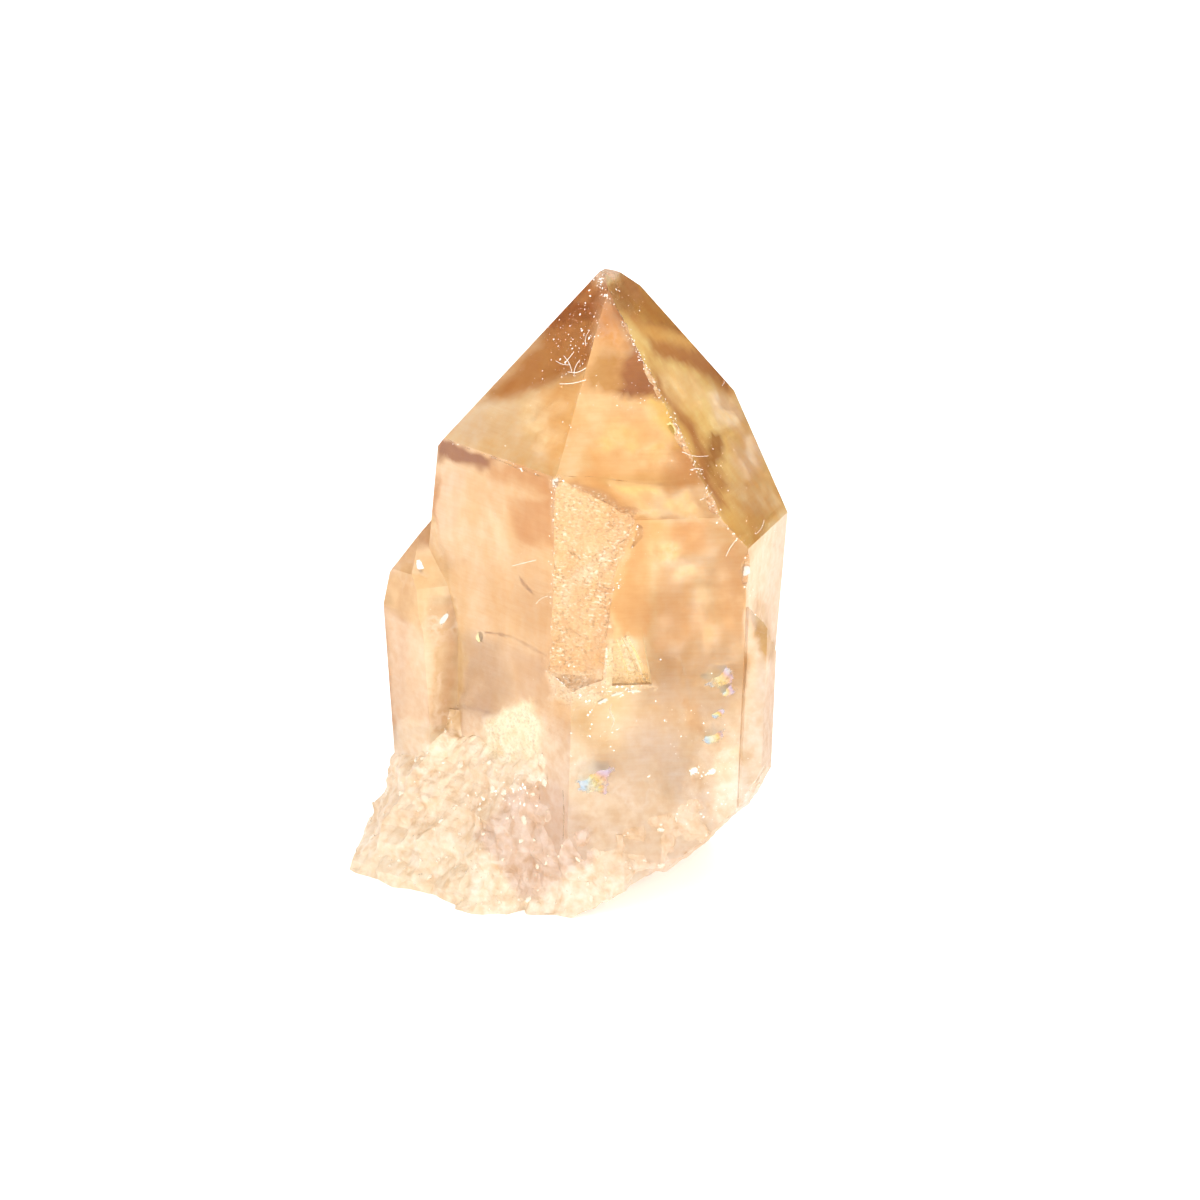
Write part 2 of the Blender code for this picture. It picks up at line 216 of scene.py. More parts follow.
# The light: white all round, stronger low on the left and from behind the camera, with dark flags
# where the tip faces would mirror it: direction, angles at which a flag ends and is full, share kept.
SKY_LIGHT = 1.58
SIDE_REACH = (-0.45, -0.85)
SIDE_LIGHT = 1.3
LOW_REACH = (0.15, 0.35)
FRONT_REACH = (-0.35, -0.75)
FRONT_LIGHT = 0.9
FLAGS = [
    ((-0.81, 0.23, 0.545), (16, 38), 0.1),
    ((0.63, 0.74, 0.25), (16, 40), 0.08),
    ((0.295, -0.466, 0.83), (12, 30), 0.4),
]
FLOOR_GLOW = 0.31
FLOOR_RADIUS = 3.0
FLOOR_GAP = 0.02 * MM
BOUNCES = 40

CITRINE_IOR = 1.544
ABSORPTION_COLOUR = (0.90, 0.66, 0.20, 1.0)
ABSORPTION_DENSITY = 54.0

# The faces towards the camera are polished by growth, and those behind are duller and scatter the light.
FRONT_GLOSS = 0.29
BACK_GLOSS = 0.42
BROKEN_GLOSS = 0.38
MILK_OPACITY = 0.62
SPARKLE_HIGHLIGHT_OPACITY = 0.6
WHITE = (1, 1, 1, 1)
STREAK_COLOUR = (0.95, 0.90, 0.84, 1)
VEIN_COLOUR = (1.0, 0.95, 0.87, 1)
# Painted shade for the pits of frosted places, and painted sparkle highlights for their facets.
PIT_SHADE_COLOUR = (0.40, 0.26, 0.14, 1)
SPARKLE_HIGHLIGHT_COLOUR = (0.96, 0.87, 0.73, 1)
FLAKE_PALE = (0.60, 0.54, 0.46, 1)

# The milky, crumbled foot: its upper edge on the clean faces, as a line through photograph pixels.
MILK_EDGE = [(330, 700), (395, 725), (450, 722), (480, 700), (545, 705), (575, 735), (620, 770),
             (680, 775), (705, 720), (760, 690), (800, 690)]
MILK_FADE = 34
MILK_WANDER = 22
MILK_WANDER_SIZE = 2.2 * MM
FOOT_MILK = 0.75
FOOT_GLOSS = 0.2
FOOT_GRAIN = 0.4
# Broken faces are milkier and less grainy in the foot, which ends at this height.
LOW_TOP = 14 * MM
LOW_BREAK_GRAIN = 0.5
HIGH_BREAK_MILK = 0.35
HIGH_BREAK_GRAIN = 0.9
# Painted edges wander by these pixels, over these distances.
WARP = 9
WARP_SIZE = 3.5 * MM
FINE_WARP = 5
FINE_WARP_SIZE = 1.2 * MM

# The crystal's clean faces: azimuth from the front, rise, and how much light they pass, as a tint that is
# the crystal's colour with painted light and shade, differing from face to face.
TURN = 11.8
TIP_RISE = 38.2
FACES = {
    "tip_left": (TURN - 60, TIP_RISE, (0.98, 1.0, 1.0)),
    "tip_front": (TURN, TIP_RISE, (0.92, 0.76, 0.58)),
    "tip_right": (TURN + 60, TIP_RISE, (1.0, 0.98, 0.64)),
    "side_left": (TURN - 60, 0, (0.95, 0.87, 0.82)),
    "side_front": (TURN, 0, (0.95, 0.98, 0.98)),
    "side_right": (TURN + 60, 0, (0.98, 0.88, 0.82)),
}
FACE_ANGLE = math.radians(1.5)

# The colour of cloudy crystal, and where it differs: outline, soft edge and colour. An outline gives
# its corners in photograph pixels, each as its place across and then its place down.
MILK_COLOUR = (0.96, 0.85, 0.68)
CASTS = [
    ((330, 700, 480, 700, 500, 800, 470, 850, 330, 900), 20, (0.92, 0.79, 0.61)),
    ((340, 830, 440, 820, 500, 870, 540, 905, 480, 925, 335, 880), 12, (1.0, 0.91, 0.74)),
    # Painted shadow: the grey zone in the shade under the ledge of the foot.
    ((500, 790, 560, 790, 596, 830, 590, 866, 560, 892, 541, 904, 514, 895, 496, 862, 472, 840,
      490, 815), 5, (0.8, 0.66, 0.56)),
    ((596, 760, 660, 770, 720, 770, 712, 830, 650, 852, 600, 850), 18, (0.88, 0.72, 0.52)),
    ((640, 848, 700, 836, 722, 850, 700, 880, 640, 884), 9, (1.0, 0.88, 0.84)),
    ((520, 900, 580, 868, 640, 866, 650, 905, 560, 930, 480, 925), 10, (1.0, 0.94, 0.81)),
    ((700, 750, 770, 720, 775, 830, 720, 850, 700, 820), 12, (1.0, 0.98, 0.92)),
]
# Places where the crystal is cloudy or rubbed, on any face: outline, soft edge, milk, extra gloss and
# grain, and the colour of the cloud there.
CREAM = (0.98, 0.86, 0.68)
CLOUDY = [
    ((552, 476, 640, 520, 620, 560, 600, 690, 551, 690), 3, 0.0, 0.0, 1.0, CREAM),
    ((556, 600, 584, 560, 610, 548, 606, 572, 580, 596, 562, 626), 5, 0.5, 0.08, 1.0, (1.0, 0.92, 0.82)),
    ((606, 640, 626, 634, 653, 690, 604, 694), 2, 0.6, 0.1, 1.0, (1.0, 0.78, 0.42)),
    ((548, 636, 606, 640, 604, 704, 560, 712, 548, 690), 10, 0.34, 0.08, 0.8, CREAM),
    ((550, 668, 605, 668, 602, 700, 552, 702), 3, 0.8, 0.1, 0.9, (0.8, 0.63, 0.43)),
    ((384, 535, 428, 530, 436, 640, 446, 716, 392, 722, 378, 600), 8, 0.26, 0.06, 0.1, CREAM),
    ((752, 552, 792, 505, 792, 700, 770, 780, 742, 790, 744, 600), 3, 0.66, 0.05, 0.1, (1.0, 0.9, 0.77)),
    ((704, 752, 742, 734, 746, 800, 722, 846, 700, 820), 16, 1.1, 0.05, 0.4, (1.0, 0.97, 0.9)),
    ((754, 592, 770, 610, 782, 645, 772, 668, 756, 640), 4, 0.75, 0.0, 0.2, (0.62, 0.42, 0.15)),
    ((600, 700, 720, 690, 726, 860, 610, 870), 30, 0.52, 0.05, 0.1, (0.88, 0.72, 0.53)),
    ((440, 610, 552, 640, 552, 760, 440, 760), 26, 0.22, 0.04, 0.1, CREAM),
    ((438, 488, 470, 488, 470, 560, 436, 560), 10, 0.2, 0.02, 0.0, CREAM),
    ((486, 712, 500, 704, 536, 703, 548, 730, 540, 760, 510, 768, 488, 748),
      5, 1.0, 0.1, 0.7, (1.0, 0.95, 0.74)),
    ((606, 294, 618, 322, 626, 346, 590, 346), 9, 0.66, 0.0, 0.0, (0.9, 0.42, 0.12)),
    ((594, 268, 617, 262, 620, 276, 604, 290, 592, 286), 4, 0.7, 0.1, 0.7, (0.92, 0.8, 0.68)),
    ((380, 600, 382, 562, 396, 542, 430, 506, 442, 540, 444, 600, 458, 612, 430, 642, 408, 616),
      4, 0.62, 0.0, 0.2, (0.8, 0.57, 0.31)),
    ((386, 610, 408, 616, 430, 644, 432, 724, 396, 736), 4, 0.56, 0.0, 0.1, (0.9, 0.77, 0.61)),
    ((431, 600, 460, 596, 465, 734, 433, 730), 3, 0.75, 0.0, 0.1, (0.62, 0.43, 0.23)),
    ((380, 604, 380, 562, 396, 540, 430, 506, 436, 519, 402, 551, 390, 568, 390, 600),
      2, 0.7, 0.0, 0.1, (0.62, 0.42, 0.19)),
]
# Painted glow: golden glows under the surface, broken into blotches, painted as milk and colour: outline,
# soft edge, milk, colour.
GLOWS = [
    ((650, 530, 704, 526, 714, 560, 702, 594, 660, 596), 12, 0.75, (0.99, 0.78, 0.38)),
    ((610, 488, 712, 484, 724, 520, 640, 520), 8, 0.7, (0.97, 0.74, 0.29)),
    ((576, 400, 660, 400, 680, 460, 600, 470), 14, 0.6, (0.97, 0.69, 0.25)),
    ((520, 402, 560, 396, 556, 456, 520, 452), 14, 0.68, (1.0, 0.84, 0.54)),
    ((740, 486, 776, 480, 784, 508, 748, 518), 8, 0.45, (1.0, 0.8, 0.42)),
    ((704, 398, 728, 388, 748, 412, 738, 430, 712, 426), 6, 0.95, (1.0, 0.8, 0.42)),
    ((736, 432, 756, 436, 764, 474, 744, 482), 8, 0.7, (1.0, 0.8, 0.42)),
    ((664, 372, 690, 376, 706, 392, 690, 410, 672, 400), 7, 0.7, (0.98, 0.72, 0.34)),
    ((660, 600, 740, 600, 736, 650, 664, 650), 20, 0.5, (1.0, 0.8, 0.48)),
    ((470, 500, 512, 500, 512, 560, 470, 570), 12, 0.4, (1.0, 0.84, 0.56)),
    ((690, 560, 744, 566, 744, 700, 690, 700), 14, 0.5, (1.0, 0.76, 0.4)),
    ((640, 700, 744, 690, 744, 770, 640, 780), 18, 0.6, (0.9, 0.69, 0.41)),
    ((728, 430, 764, 426, 788, 512, 752, 540, 728, 500), 14, 0.25, (1.0, 0.82, 0.5)),
]
BLOTCH = 1.5 * MM
# The faces turned away from the camera are etched in patches like the frosted one in front.
ETCH_SIZE = 5.0 * MM
ETCH_MILK = 0.30
ETCH_GRAIN = 0.95
# A little haze all over the clean faces.
HAZE = 0.02

BROKEN_TINT = (0.93, 0.76, 0.58)
# Where a face passes other light: painted light and shade, lighter and darker places on the faces, with
# the crystal's own colour such as the brown tip. Face, or none for every clean face, outline, soft edge
# and colour.
TINT_AND_SHADE_PATCHES = [
    ("tip_left", (612, 262, 478, 400, 520, 392, 560, 378, 586, 366, 612, 300), 9, (0.595, 0.35, 0.138)),
    ("tip_left", (608, 262, 540, 330, 560, 332, 600, 322, 612, 300), 7, (0.7, 0.43, 0.2)),
    ("tip_left", (596, 284, 578, 302, 590, 308, 602, 290), 4, (1.0, 0.8, 0.55)),
    ("tip_left", (588, 372, 570, 440, 552, 472, 538, 440, 546, 388), 9, (1.0, 0.85, 0.62)),
    ("tip_left", (455, 425, 480, 405, 495, 430, 470, 445), 9, (0.93, 0.94, 0.97)),
    ("tip_left", (520, 398, 530, 398, 535, 440, 524, 446), 6, (0.9, 0.84, 0.66)),
    ("tip_front", (618, 330, 640, 345, 661, 396, 636, 400, 615, 394), 5, (0.455, 0.217, 0.055)),
    ("tip_front", (596, 336, 616, 334, 616, 392, 585, 398, 588, 370), 6, (0.65, 0.447, 0.203)),
    ("tip_front", (648, 398, 668, 402, 690, 446, 676, 448, 660, 425), 6, (0.94, 0.84, 0.34)),
    ("tip_front", (574, 398, 600, 395, 612, 415, 590, 432, 572, 425), 7, (0.98, 0.86, 0.72)),
    ("tip_front", (600, 425, 618, 420, 622, 445, 604, 448), 6, (0.98, 0.88, 0.66)),
    ("tip_front", (560, 440, 580, 430, 590, 470, 560, 482), 8, (0.96, 0.97, 1.0)),
    ("tip_front", (655, 486, 712, 478, 724, 522, 640, 522), 8, (1.0, 0.97, 0.88)),
    ("tip_front", (596, 484, 640, 476, 700, 470, 704, 482, 650, 490, 606, 496), 5, (0.84, 0.69, 0.47)),
    ("tip_right", (618, 268, 652, 360, 676, 362, 700, 370, 728, 388, 760, 400, 650, 268),
      7, (0.56, 0.31, 0.082)),
    ("tip_right", (618, 268, 640, 330, 690, 336, 720, 340, 650, 268), 6, (1.0, 0.9, 0.4)),
    ("tip_right", (626, 314, 650, 319, 690, 325, 714, 335, 700, 345, 660, 341, 636, 337),
      4, (0.84, 0.64, 0.28)),
    ("tip_right", (620, 284, 628, 280, 642, 300, 634, 304), 3, (1.0, 0.9, 0.6)),
    ("tip_right", (650, 368, 664, 372, 712, 472, 728, 506, 716, 508, 690, 450), 8, (0.55, 0.31, 0.125)),
    ("tip_right", (712, 396, 728, 388, 744, 408, 746, 424, 726, 428, 714, 416), 6, (1.0, 1.0, 1.0)),
    ("tip_right", (664, 372, 690, 376, 706, 392, 690, 410, 672, 400), 7, (1.0, 0.92, 0.62)),
    ("tip_right", (704, 436, 722, 432, 726, 460, 712, 474, 704, 462), 5, (0.47, 0.28, 0.03)),
    ("tip_right", (714, 470, 728, 466, 736, 486, 724, 494), 5, (0.66, 0.5, 0.24)),
    ("tip_right", (738, 430, 760, 432, 766, 474, 746, 482, 736, 460), 8, (1.0, 1.0, 1.0)),
    ("tip_right", (734, 486, 778, 478, 788, 516, 744, 524), 9, (1.0, 1.0, 0.84)),
    ("tip_right", (742, 520, 784, 512, 752, 550), 6, (0.98, 0.92, 0.56)),
    ("side_left", (434, 440, 460, 446, 492, 456, 490, 468, 452, 466, 434, 462), 4, (0.4, 0.18, 0.05)),
    ("side_left", (490, 458, 553, 478, 552, 498, 520, 486, 490, 472), 6, (0.8, 0.58, 0.38)),
    ("side_left", (514, 500, 552, 496, 552, 548, 524, 544), 7, (0.8, 0.58, 0.4)),
    ("side_left", (436, 470, 466, 472, 462, 520, 436, 530), 7, (0.96, 0.84, 0.84)),
    ("side_left", (448, 640, 500, 636, 516, 700, 490, 716, 446, 712), 9, (0.73, 0.635, 0.61)),
    ("side_left", (505, 640, 550, 660, 552, 710, 520, 716), 9, (0.78, 0.66, 0.62)),
    ("side_front", (636, 526, 652, 524, 648, 560, 630, 600, 614, 604), 8, (0.9, 0.76, 0.56)),
    ("side_front", (716, 545, 752, 552, 752, 650, 716, 640), 10, (0.94, 0.84, 0.7)),
    ("side_front", (655, 640, 745, 640, 745, 720, 655, 730), 18, (0.86, 0.86, 0.86)),
    ("", (552, 476, 640, 520, 620, 560, 600, 690, 551, 690), 3, (0.91, 0.81, 0.79)),
    ("", (552, 476, 632, 516, 624, 530, 553, 536), 8, (0.71, 0.57, 0.49)),
    ("side_front", (640, 520, 700, 520, 704, 556, 650, 566), 9, (0.97, 0.81, 0.6)),
    ("", (638, 524, 652, 526, 650, 600, 648, 638, 616, 640, 614, 606, 628, 580, 631, 548),
      5, (0.88, 0.73, 0.55)),
    ("side_front", (655, 566, 700, 574, 710, 640, 655, 646), 10, (0.98, 0.94, 0.88)),
    # Painted shadow: brown shade beside the rainbow cracks.
    ("side_front", (684, 700, 702, 704, 706, 736, 692, 730), 5, (0.8, 0.66, 0.5)),
    ("side_left", (429, 480, 437, 480, 441, 548, 431, 545), 2, (0.74, 0.5, 0.32)),
    ("", (410, 522, 432, 506, 445, 545, 450, 600, 431, 632, 414, 612), 3, (0.85, 0.73, 0.58)),
    ("", (431, 604, 452, 596, 463, 640, 464, 732, 433, 732), 3, (0.7, 0.6, 0.48)),
    ("", (380, 515, 430, 520, 438, 640, 450, 718, 392, 724, 374, 600), 3, (0.92, 0.78, 0.68)),
    ("", (380, 575, 432, 560, 438, 634, 420, 616, 400, 614, 380, 602), 4, (0.86, 0.7, 0.5)),
    ("", (431, 610, 454, 610, 452, 722, 434, 718), 3, (0.84, 0.64, 0.46)),
    ("", (757, 618, 776, 630, 774, 662, 760, 656), 3, (0.84, 0.66, 0.42)),
]


def camera_axes():
    """The camera's right, up and view directions, with the photograph's slight roll."""
    right = Vector((1, 0, 0))
    up = Vector((0, math.sin(CAMERA_RISE), math.cos(CAMERA_RISE)))
    view = Vector((0, math.cos(CAMERA_RISE), -math.sin(CAMERA_RISE)))
    cos, sin = math.cos(CAMERA_ROLL), math.sin(CAMERA_ROLL)
    return right * cos + up * sin, up * cos - right * sin, view


RIGHT, UP, VIEW = camera_axes()


def camera_place():
    across = (FRAME_PIXELS / 2 - TARGET_PIXEL[0]) * PIXEL
    above = (TARGET_PIXEL[1] - FRAME_PIXELS / 2) * PIXEL
    return TARGET + RIGHT * across + UP * above - VIEW * CAMERA_DISTANCE


EYE = camera_place()


def new_object(name, data):
    made = bpy.data.objects.new(name, data)
    bpy.context.scene.collection.objects.link(made)
    return made


def mesh_of(name, bm):
    mesh = bpy.data.meshes.new(name)
    bm.to_mesh(mesh)
    bm.free()
    return mesh


def make_camera():
    data = bpy.data.cameras.new("camera")
    data.sensor_width = SENSOR
    data.lens = SENSOR * CAMERA_DISTANCE / (FRAME_PIXELS * PIXEL)
    data.clip_start = CAMERA_NEAR
    camera = new_object("camera", data)
    turn = Matrix((RIGHT, UP, -VIEW)).transposed().to_4x4()
    camera.matrix_world = Matrix.Translation(EYE) @ turn
    bpy.context.scene.camera = camera


def pixel_of(point):
    """Where a point falls in the photograph."""
    gap = point - TARGET
    scale = CAMERA_DISTANCE / PIXEL / (CAMERA_DISTANCE + gap.dot(VIEW))
    return TARGET_PIXEL[0] + scale * gap.dot(RIGHT), TARGET_PIXEL[1] - scale * gap.dot(UP)


def ray(pixel):
    """The direction in which the photograph's camera sees a pixel."""
    across = (pixel[0] - FRAME_PIXELS / 2) * PIXEL
    above = (FRAME_PIXELS / 2 - pixel[1]) * PIXEL
    return (VIEW * CAMERA_DISTANCE + RIGHT * across + UP * above).normalized()


def main_planes(bm):
    """The planes of the clean faces, as (normal, offset, area), largest first."""
    planes = []
    for face in sorted(bm.faces, key=lambda f: -f.calc_area()):
        area = face.calc_area()
        if area < CLEAN_AREA:
            break
        offset = face.normal.dot(face.verts[0].co)
        for plane in planes:
            if plane[0].dot(face.normal) > math.cos(PLANE_ANGLE) and abs(plane[1] - offset) < PLANE_GAP:
                plane[2] += area
                break
        else:
            planes.append([face.normal.copy(), offset, area])
    return planes


def mark_planes(bm, planes, layer):
    """Writes the number of the clean plane that each face lies in, counted from 1, or 0."""
    for face in bm.faces:
        middle = face.calc_center_median()
        face[layer] = 0
        for number, (normal, offset, _) in enumerate(planes, 1):
            near = abs(normal.dot(middle) - offset) < PLANE_GAP
            if near and face.normal.dot(normal) > math.cos(PLANE_ANGLE):
                face[layer] = number
                break


def too_long(edge, layer):
    """Whether an edge is longer than its faces allow."""
    length = edge.calc_length()
    if any(face[layer] == 0 for face in edge.link_faces):
        return length > ROUGH_EDGE
    middle = (edge.verts[0].co + edge.verts[1].co) / 2
    if length > CLEAN_EDGE or length < FINE_EDGE or middle.y > FINE_BACK:
        return length > CLEAN_EDGE
    across, down = pixel_of(middle)
    return any(left < across < right and top < down < low for (left, top), (right, low) in FINE_PLACES)


def refine(bm, layer):
    """Splits long edges until each is as short as its faces ask."""
    for _ in range(REFINE_ROUNDS):
        long = [edge for edge in bm.edges if too_long(edge, layer)]
        if not long:
            break
        bmesh.ops.subdivide_edges(bm, edges=long, cuts=1)
        bmesh.ops.triangulate(bm, faces=bm.faces[:], quad_method="SHORT_EDGE", ngon_method="BEAUTY")


def roughen(bm, layer):
    """Adds fine relief to the broken faces. Where they meet a clean face it runs along that face."""
    bm.normal_update()
    moves = {}
    for vertex in bm.verts:
        clean = {face[layer]: face.normal for face in vertex.link_faces if face[layer]}
        if len(clean) == len({face[layer] for face in vertex.link_faces}) or vertex.co.z < FLAT_TOP:
            continue
        push = Vector()
        for size, depth in RELIEF:
            push += noise.noise_vector(vertex.co / size) * depth
        push += vertex.normal * noise.noise(vertex.co / RELIEF[1][0] + RELIEF_SHIFT) * RELIEF[0][1]
        for normal in clean.values():
            push -= normal * push.dot(normal)
        if len(clean) < 2:
            moves[vertex] = push
    for vertex, push in moves.items():
        vertex.co += push
        vertex.co.z = max(vertex.co.z, 0.0)


def crystal_mesh(node):
    """The crystal's fine mesh, whose faces carry the numbers of their clean planes."""
    bm = bmesh.new()
    bm.from_mesh(node.data)
    bmesh.ops.remove_doubles(bm, verts=bm.verts[:], dist=MERGE_GAP)
    bm.normal_update()
    layer = bm.faces.layers.int.new("plane")
    mark_planes(bm, main_planes(bm), layer)
    refine(bm, layer)
    roughen(bm, layer)
    return mesh_of("citrine", bm)


def soft_step(low, high, values):
    share = np.clip((values - low) / (high - low), 0, 1)
    return share * share * (3 - 2 * share)


def inside(places, outline, fade):
    """How far each place is inside an outline, from 0 to 1 across its soft edge."""
    corners = np.array(outline, float).reshape(-1, 2)
    nearest = np.full(len(places), np.inf)
    crossings = np.zeros(len(places), int)
    for first, last in zip(corners, np.roll(corners, -1, axis=0)):
        along = last - first
        gap = places - first
        share = np.clip(gap @ along / (along @ along), 0, 1)
        nearest = np.minimum(nearest, np.linalg.norm(gap - share[:, None] * along, axis=1))
        spans = (first[1] > places[:, 1]) != (last[1] > places[:, 1])
        rise = along[1] if along[1] else 1e-9
        crossings += spans & (gap[:, 0] < along[0] * gap[:, 1] / rise)
    distance = np.where(crossings % 2 == 1, nearest, -nearest)
    return soft_step(-fade, fade, distance)


def direction(azimuth, rise):
    a, r = math.radians(azimuth), math.radians(rise)
    return np.array([math.sin(a) * math.cos(r), -math.cos(a) * math.cos(r), math.sin(r)])


def noise_field(points, size, seed):
    """Smooth noise from -1 to 1 at each row of an array of points."""
    shift = Vector((seed, seed * 2.3, seed * 4.1))
    return np.array([noise.noise(Vector(p) / size + shift) for p in points])


def corner_data(mesh):
    """The numbers of each face corner's vertex and face."""
    vertex = np.zeros(len(mesh.loops), int)
    mesh.loops.foreach_get("vertex_index", vertex)
    sides = np.zeros(len(mesh.polygons), int)
    mesh.polygons.foreach_get("loop_total", sides)
    return vertex, np.repeat(np.arange(len(mesh.polygons)), sides)


def read(items, name, width):
    values = np.zeros(len(items) * width)
    items.foreach_get(name, values)
    return values.reshape(-1, width) if width > 1 else values


def write(mesh, name, values):
    """Keeps values, one row of three for each face corner, as a named colour of the mesh."""
    colours = np.ones((len(values), 4), np.float32)
    colours[:, :3] = values
    made = mesh.color_attributes.new(name, "FLOAT_COLOR", "CORNER")
    made.data.foreach_set("color", colours.ravel())


def blend(values, share, target):
    """Moves each row of values towards a target by that row's share."""
    values += share[:, None] * (np.array(target) - values)


def wandering(points):
    """Where points fall in the photograph, shifted a little so that painted edges wander."""
    warp = [noise_field(points, WARP_SIZE, seed) for seed in (1, 5)]
    fine = [noise_field(points, FINE_WARP_SIZE, seed) for seed in (2, 7)]
    place = np.array([pixel_of(Vector(point)) for point in points])
    return place + WARP * np.stack(warp, axis=1) + FINE_WARP * np.stack(fine, axis=1)


def foot_share(points, place):
    """How far each point is into the milky foot, from 0 to 1."""
    edge = np.array(MILK_EDGE)
    drop = place[:, 1] - np.interp(place[:, 0], edge[:, 0], edge[:, 1])
    return soft_step(-MILK_FADE, MILK_FADE, drop + MILK_WANDER * noise_field(points, MILK_WANDER_SIZE, 3))


def paint(mesh):
    """Writes the colours that the material reads: the tint with painted light and shade, the cast with
    painted glow and shadow, and milk, gloss and grain as finish.
    """
    vertex, face = corner_data(mesh)
    points = read(mesh.vertices, "co", 3)
    normals = read(mesh.polygons, "normal", 3)
    plane = np.zeros(len(mesh.polygons), int)
    mesh.attributes["plane"].data.foreach_get("value", plane)
    facing = np.einsum("ij,ij->i", normals, np.array(EYE) - read(mesh.polygons, "center", 3)) > 0
    place = wandering(points)
    foot = foot_share(points, place)[vertex]
    clean, front = plane[face] > 0, facing[face]
    low = points[vertex, 2] < LOW_TOP
    milk = np.where(clean, foot * FOOT_MILK + HAZE, np.where(low, 1.0, HIGH_BREAK_MILK))
    gloss = np.where(clean, np.where(front, FRONT_GLOSS, BACK_GLOSS) + foot * FOOT_GLOSS, BROKEN_GLOSS)
    grain = np.where(clean, foot * FOOT_GRAIN, np.where(low, LOW_BREAK_GRAIN, HIGH_BREAK_GRAIN))
    cast = np.ones((len(vertex), 3)) * MILK_COLOUR
    for outline, fade, colour in CASTS:
        blend(cast, inside(place, outline, fade)[vertex] * front, colour)
    for outline, fade, more_milk, more_gloss, more_grain, colour in CLOUDY:
        share = inside(place, outline, fade)[vertex] * front
        milk = np.maximum(milk, share * more_milk)
        gloss = gloss + share * more_gloss
        grain = np.maximum(grain, share * more_grain)
        blend(cast, share, colour)
    etched = soft_step(0.0, 0.5, noise_field(points, ETCH_SIZE, 21))[vertex] * clean * ~front
    milk = np.maximum(milk, etched * ETCH_MILK)
    grain = np.maximum(grain, etched * ETCH_GRAIN)
    blotches = soft_step(-0.25, 0.4, noise_field(points, BLOTCH, 11))
    # Painted glow: milk and golden cast raised in blotches.
    for outline, fade, more_milk, colour in GLOWS:
        share = (inside(place, outline, fade) * (0.25 + 0.75 * blotches))[vertex] * front * clean
        milk = np.maximum(milk, share * more_milk)
        blend(cast, share, colour)
    # Painted light and shade: faces and patches get tints lighter or darker than the crystal's colour
    # alone.
    tint_and_shade = np.ones((len(vertex), 3))
    on = {"": clean & front}
    for name, (azimuth, rise, colour) in FACES.items():
        on[name] = (normals @ direction(azimuth, rise) > math.cos(FACE_ANGLE))[face] & clean
        tint_and_shade[on[name]] = colour
    tint_and_shade[~clean] = BROKEN_TINT
    for name, outline, fade, colour in TINT_AND_SHADE_PATCHES:
        blend(tint_and_shade, inside(place, outline, fade)[vertex] * on[name], colour)
    # A shader gives a face's colour to light that crosses it twice, and this light crosses once.
    write(mesh, "tint_and_shade", tint_and_shade ** 2)
    write(mesh, "cast", cast)
    write(mesh, "finish", np.stack([milk, gloss, grain], axis=1))


class Nodes:
    """Short ways to add and join the nodes of one tree."""

    def __init__(self, owner):
        owner.use_nodes = True
        self.owner = owner
        self.tree = owner.node_tree

    def join(self, source, target):
        self.tree.links.new(source, target)

    def add(self, kind, **values):
        """A node of this kind, with its settings and inputs by name."""
        node = self.tree.nodes.new("ShaderNode" + kind)
        for name, value in values.items():
            if hasattr(node, name):
                setattr(node, name, value)
            else:
                self.feed(node.inputs[name], value)
        return node

    def feed(self, socket, value):
        if isinstance(value, bpy.types.NodeSocket):
            self.join(value, socket)
        else:
            socket.default_value = value

    def math(self, operation, *values):
        node = self.tree.nodes.new("ShaderNodeMath")
        node.operation = operation
        for socket, value in zip(node.inputs, values):
            self.feed(socket, value)
        return node.outputs[0]

    def product(self, first, second):
        return self.math("MULTIPLY", first, second)

    def spread(self, value, low, high, start=0.0, end=1.0, steps="LINEAR"):
        """The value moved from one range to another, and kept inside it."""
        node = self.tree.nodes.new("ShaderNodeMapRange")
        node.interpolation_type = steps
        for socket, given in zip(node.inputs[:5], (value, low, high, start, end)):
            self.feed(socket, given)
        return node.outputs[0]

    def mix(self, share, first, second, how="MIX"):
        """Two colours mixed by a share."""
        node = self.tree.nodes.new("ShaderNodeMix")
        node.data_type = "RGBA"
        node.blend_type = how
        for number, value in ((0, share), (6, first), (7, second)):
            self.feed(node.inputs[number], value)
        return node.outputs[2]

    def shade(self, colour, other):
        """One colour darkened by another."""
        return self.mix(1.0, colour, other, "MULTIPLY")

    def place(self, stretch=(1, 1, 1)):
        """Object coordinates in millimetres, stretched along each axis."""
        coordinates = self.tree.nodes.new("ShaderNodeTexCoord")
        mapping = self.tree.nodes.new("ShaderNodeMapping")
        mapping.inputs["Scale"].default_value = [value / MM for value in stretch]
        self.join(coordinates.outputs["Object"], mapping.inputs["Vector"])
        return mapping.outputs["Vector"]

    def noise(self, size, detail=2.0, stretch=(1, 1, 1)):
        """Noise whose features are about this many millimetres across."""
        node = self.add("TexNoise", Vector=self.place(stretch), Scale=1 / size, Detail=detail)
        return node.outputs["Fac"]


class Material(Nodes):
    """The nodes of a new material, with its one shader."""

    def __init__(self, name):
        super().__init__(bpy.data.materials.new(name))
        self.shader = self.tree.nodes["Principled BSDF"]

    def give(self, name, value):
        """Sets an input of the shader, or joins a socket to it."""
        self.feed(self.shader.inputs[name], value)

    def painted(self, name):
        """The node that reads a colour painted on the mesh."""
        return self.add("Attribute", attribute_name=name)


